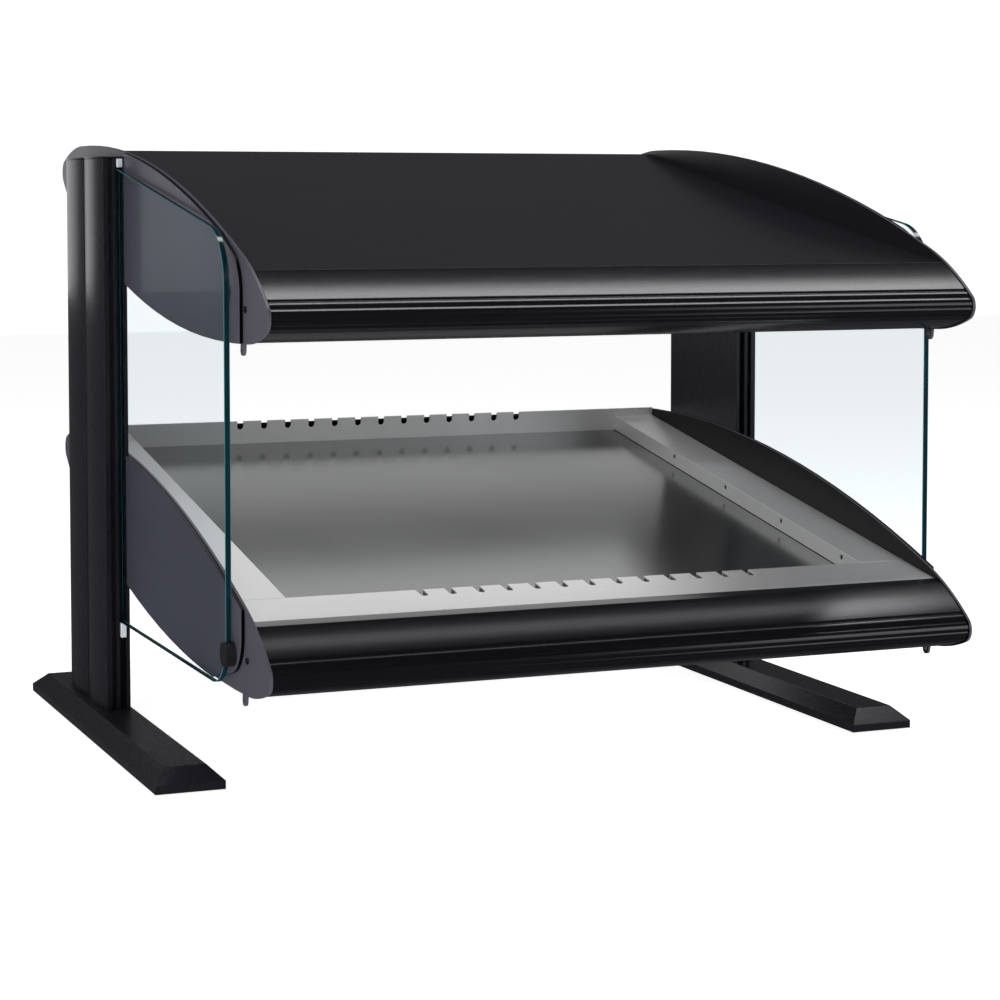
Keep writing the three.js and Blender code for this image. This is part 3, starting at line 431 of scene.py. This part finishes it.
# hard-coated aluminium: grey, with rolling marks front to back, and wiped cloudy in use
mark_width = 1 * MM
mark_length = 50 * MM
wipe_width = 143 * MM
hard_coat, tree, shader = blank_material("hard_coated_aluminium_plate")
coords = add_node(tree, "ShaderNodeTexCoord")
placed = add_node(tree, "ShaderNodeMapping", {
    "Vector": coords.outputs["Object"], "Scale": (1 / mark_width, 1 / mark_length, 1 / mark_length)})
rolling = add_node(tree, "ShaderNodeTexNoise", {
    "Vector": placed.outputs[0], "Scale": 1.0, "Detail": 3.0})
wiped = add_node(tree, "ShaderNodeTexNoise", {
    "Vector": coords.outputs["Object"], "Scale": 1 / wipe_width, "Detail": 3.0})
coat = add_node(tree, "ShaderNodeMix", {
    0: rolling.outputs[0], 6: linear("#646565"), 7: linear("#6f7070")}, data_type="RGBA")
haze = add_node(tree, "ShaderNodeMapRange", {
    "Value": wiped.outputs[0], "To Min": 0.16, "To Max": 0.22})
tree.links.new(coat.outputs[2], shader.inputs["Base Color"])
tree.links.new(haze.outputs[0], shader.inputs["Roughness"])
shader.inputs["Metallic"].default_value = 0.85
finished_copy("heated_plate", [hard_coat], 0.5)

# silicone foil: a dull red-brown, with the etched element showing as bands. A wave pattern
# repeats every tau / 20 of its scale.
band_pitch = 12 * MM
heater_foil, tree, shader = blank_material("silicone_heater_foil")
coords = add_node(tree, "ShaderNodeTexCoord")
bands = add_node(tree, "ShaderNodeTexWave", {
    "Vector": coords.outputs["Object"], "Scale": math.tau / 20 / band_pitch, "Distortion": 0.5})
foil_tone = add_node(tree, "ShaderNodeMix", {
    0: bands.outputs[1], 6: linear("#8c3a18"), 7: linear("#b4552a")}, data_type="RGBA")
tree.links.new(foil_tone.outputs[2], shader.inputs["Base Color"])
shader.inputs["Roughness"].default_value = 0.5
finished_copy("foil_heater", [heater_foil], 0.2)

# needled fibre: cream, matt and lumpy
lump_width = 4 * MM
fibre_blanket, tree, shader = blank_material("needled_fibre_blanket")
coords = add_node(tree, "ShaderNodeTexCoord")
lumps = add_node(tree, "ShaderNodeTexNoise", {
    "Vector": coords.outputs["Object"], "Scale": 1 / lump_width, "Detail": 6.0})
wool_tone = add_node(tree, "ShaderNodeMix", {
    0: lumps.outputs[0], 6: linear("#b8ae8c"), 7: linear("#ded7bd")}, data_type="RGBA")
fluff = add_node(tree, "ShaderNodeBump", {
    "Height": lumps.outputs[0], "Strength": 0.8, "Distance": 1.5 * MM})
tree.links.new(wool_tone.outputs[2], shader.inputs["Base Color"])
tree.links.new(fluff.outputs[0], shader.inputs["Normal"])
shader.inputs["Roughness"].default_value = 0.95
finished_copy("insulation_pad", [fibre_blanket], 3.0)

# ---------------------------------------------------------------- side glass
# Tempered panes with polished edges, held between nylon blocks in the uprights' slots, with a
# rubber spacer disc behind each.

# tempered glass: so thin that it hardly bends light, so each face lets it straight through
# with half the tint, and mirrors a little, more towards a grazing view
clear_glass, tree, shader = blank_material("tempered_glass_face")
see_through = add_node(tree, "ShaderNodeBsdfTransparent", {"Color": linear("#f9fcfd")})
grazing = add_node(tree, "ShaderNodeLayerWeight", {"Blend": 0.3})
mirrored_share = add_node(tree, "ShaderNodeMapRange", {
    "Value": grazing.outputs["Fresnel"], "To Min": 0.0, "To Max": 0.07})
face_mix = add_node(tree, "ShaderNodeMixShader", {
    0: mirrored_share.outputs[0], 1: see_through.outputs[0], 2: shader.outputs[0]})
tree.links.new(face_mix.outputs[0], tree.nodes["Material Output"].inputs["Surface"])
shader.inputs["Base Color"].default_value = linear("#0a1416")
shader.inputs["Roughness"].default_value = 0.02
shader.inputs["Metallic"].default_value = 0.0
shader.inputs["Specular IOR Level"].default_value = 1.0

# polished edge: gathers a deep green that drifts along it
drift_length = 40 * MM
green_edge, tree, shader = blank_material("polished_glass_edge")
coords = add_node(tree, "ShaderNodeTexCoord")
drift = add_node(tree, "ShaderNodeTexNoise", {
    "Vector": coords.outputs["Object"], "Scale": 1 / drift_length, "Detail": 2.0})
edge_tone = add_node(tree, "ShaderNodeMix", {
    0: drift.outputs[0], 6: linear("#031a21"), 7: linear("#07323b")}, data_type="RGBA")
tree.links.new(edge_tone.outputs[2], shader.inputs["Base Color"])
shader.inputs["Roughness"].default_value = 0.12

# ground arris: a paler green, matt from the wheel. The grit is drawn coarser than it is, to show.
grit_width = 0.67 * MM
ground_arris, tree, shader = blank_material("ground_glass_arris")
coords = add_node(tree, "ShaderNodeTexCoord")
grit = add_node(tree, "ShaderNodeTexNoise", {
    "Vector": coords.outputs["Object"], "Scale": 1 / grit_width, "Detail": 2.0})
arris_tone = add_node(tree, "ShaderNodeMix", {
    0: grit.outputs[0], 6: linear("#23555d"), 7: linear("#4b868d")}, data_type="RGBA")
tree.links.new(arris_tone.outputs[2], shader.inputs["Base Color"])
shader.inputs["Roughness"].default_value = 0.4

# natural nylon: a cool white that light enters a little, with a matt moulded grain
nylon_grain = 0.83 * MM
natural_nylon, tree, shader = blank_material("moulded_natural_nylon")
coords = add_node(tree, "ShaderNodeTexCoord")
grain = add_node(tree, "ShaderNodeTexNoise", {
    "Vector": coords.outputs["Object"], "Scale": 1 / nylon_grain, "Detail": 2.0})
nylon_tone = add_node(tree, "ShaderNodeMix", {
    0: grain.outputs[0], 6: linear("#dcdfe4"), 7: linear("#f0f1f3")}, data_type="RGBA")
tree.links.new(nylon_tone.outputs[2], shader.inputs["Base Color"])
shader.inputs["Roughness"].default_value = 0.5
shader.inputs["Subsurface Weight"].default_value = 0.1

for side in ("left", "right"):
    pane = finished_copy(f"{side}_side_glass",
                         [clear_glass, green_edge, ground_arris], 0.5)
    for face in pane.data.polygons:
        sideways = abs(face.normal.x)
        face.material_index = 0 if sideways > 0.98 else 2 if sideways > 0.2 else 1
    for place in ("lower", "upper"):
        finished_copy(f"{side}_{place}_glass_block", [natural_nylon], 0.5)
    finished_copy(f"{side}_glass_spacer_disc", [moulded_rubber], 0.3)

# ---------------------------------------------------------------- canopy heat and light
# A bright folded reflector, two quartz heater rods and one frosted lamp, seen only through the
# slots in the canopy's underside.

# mill-finish aluminium: a bright grey with rolling lines along the canopy
line_width = 1 * MM
line_length = 67 * MM
mill_aluminium, tree, shader = blank_material("bright_mill_aluminium")
coords = add_node(tree, "ShaderNodeTexCoord")
placed = add_node(tree, "ShaderNodeMapping", {
    "Vector": coords.outputs["Object"], "Scale": (1 / line_length, 1 / line_width, 1 / line_width)})
rolling = add_node(tree, "ShaderNodeTexNoise", {
    "Vector": placed.outputs[0], "Scale": 1.0, "Detail": 3.0})
mill_tone = add_node(tree, "ShaderNodeMix", {
    0: rolling.outputs[0], 6: linear("#b4b6b8"), 7: linear("#cfd0d1")}, data_type="RGBA")
tree.links.new(mill_tone.outputs[2], shader.inputs["Base Color"])
shader.inputs["Metallic"].default_value = 1.0
shader.inputs["Roughness"].default_value = 0.25
finished_copy("canopy_reflector", [mill_aluminium], 0.3)

# milky quartz: glossy and pale, with the turns of the coiled element showing through
turn_pitch = 3 * MM
milky_quartz, tree, shader = blank_material("milky_quartz_tube")
coords = add_node(tree, "ShaderNodeTexCoord")
turns = add_node(tree, "ShaderNodeTexWave", {
    "Vector": coords.outputs["Object"], "Scale": math.tau / 20 / turn_pitch})
quartz_tone = add_node(tree, "ShaderNodeMix", {
    0: turns.outputs[1], 6: linear("#b9ab94"), 7: linear("#e2ddd2")}, data_type="RGBA")
tree.links.new(quartz_tone.outputs[2], shader.inputs["Base Color"])
shader.inputs["Roughness"].default_value = 0.15
for node in ("front_heat_rod", "rear_heat_rod"):
    finished_copy(node, [milky_quartz], 0.4)

# frosted glass: a warm white with an even, faint frost
frost_width = 1.1 * MM
frosted_lamp, tree, shader = blank_material("frosted_lamp_glass")
coords = add_node(tree, "ShaderNodeTexCoord")
frost = add_node(tree, "ShaderNodeTexNoise", {
    "Vector": coords.outputs["Object"], "Scale": 1 / frost_width, "Detail": 2.0})
lamp_tone = add_node(tree, "ShaderNodeMix", {
    0: frost.outputs[0], 6: linear("#e9e7df"), 7: linear("#fbfaf5")}, data_type="RGBA")
tree.links.new(lamp_tone.outputs[2], shader.inputs["Base Color"])
shader.inputs["Roughness"].default_value = 0.3
finished_copy("display_lamp", [frosted_lamp], 0.5)

# ---------------------------------------------------------------- controls
# Moulded plastic on the operator's side: two knobs, two rocker switches and the cord gland,
# with the ceramic-bodied thermostat and regulator behind the extrusions. The studs on the
# panes' front edges are the same black plastic.

# moulded black nylon: a soft sheen on a spark-eroded grain
spark_grain = 0.63 * MM
moulded_black, tree, shader = blank_material("moulded_black_nylon")
coords = add_node(tree, "ShaderNodeTexCoord")
spark = add_node(tree, "ShaderNodeTexNoise", {
    "Vector": coords.outputs["Object"], "Scale": 1 / spark_grain, "Detail": 2.0})
bump = add_node(tree, "ShaderNodeBump", {
    "Height": spark.outputs[0], "Strength": 0.3, "Distance": 0.05 * MM})
tree.links.new(bump.outputs[0], shader.inputs["Normal"])
shader.inputs["Base Color"].default_value = linear("#18181a")
shader.inputs["Roughness"].default_value = 0.45

# red polycarbonate: glossy, its colour a little deeper here and there
clouding = 5 * MM
red_lens, tree, shader = blank_material("moulded_red_polycarbonate")
coords = add_node(tree, "ShaderNodeTexCoord")
cloud = add_node(tree, "ShaderNodeTexNoise", {
    "Vector": coords.outputs["Object"], "Scale": 1 / clouding, "Detail": 2.0})
red_tone = add_node(tree, "ShaderNodeMix", {
    0: cloud.outputs[0], 6: linear("#7d1510"), 7: linear("#a32018")}, data_type="RGBA")
tree.links.new(red_tone.outputs[2], shader.inputs["Base Color"])
shader.inputs["Roughness"].default_value = 0.2

# glazed steatite: a cream ceramic with small specks under its glaze
speck_width = 1.43 * MM
glazed_steatite, tree, shader = blank_material("glazed_steatite")
coords = add_node(tree, "ShaderNodeTexCoord")
speck = add_node(tree, "ShaderNodeTexNoise", {
    "Vector": coords.outputs["Object"], "Scale": 1 / speck_width, "Detail": 3.0})
glaze_tone = add_node(tree, "ShaderNodeMix", {
    0: speck.outputs[0], 6: linear("#d8d2c2"), 7: linear("#ece8dc")}, data_type="RGBA")
tree.links.new(glaze_tone.outputs[2], shader.inputs["Base Color"])
shader.inputs["Roughness"].default_value = 0.3

for node in ("shelf_thermostat", "canopy_heat_regulator"):
    finished_copy(node, [glazed_steatite], 1.0)
for node in ("power_switch_frame", "light_switch_frame", "cord_gland"):
    finished_copy(node, [moulded_black], 0.4)
finished_copy("power_rocker", [red_lens], 0.6, body="power_rocker")
finished_copy("light_rocker", [moulded_black], 0.6, body="light_rocker")
for level in ("shelf", "canopy"):
    knob = f"{level}_heat_knob"
    finished_copy(knob, [moulded_black], 0.4, body=knob)
for side in ("left", "right"):
    finished_copy(f"{side}_glass_stud", [moulded_black], 0.5)
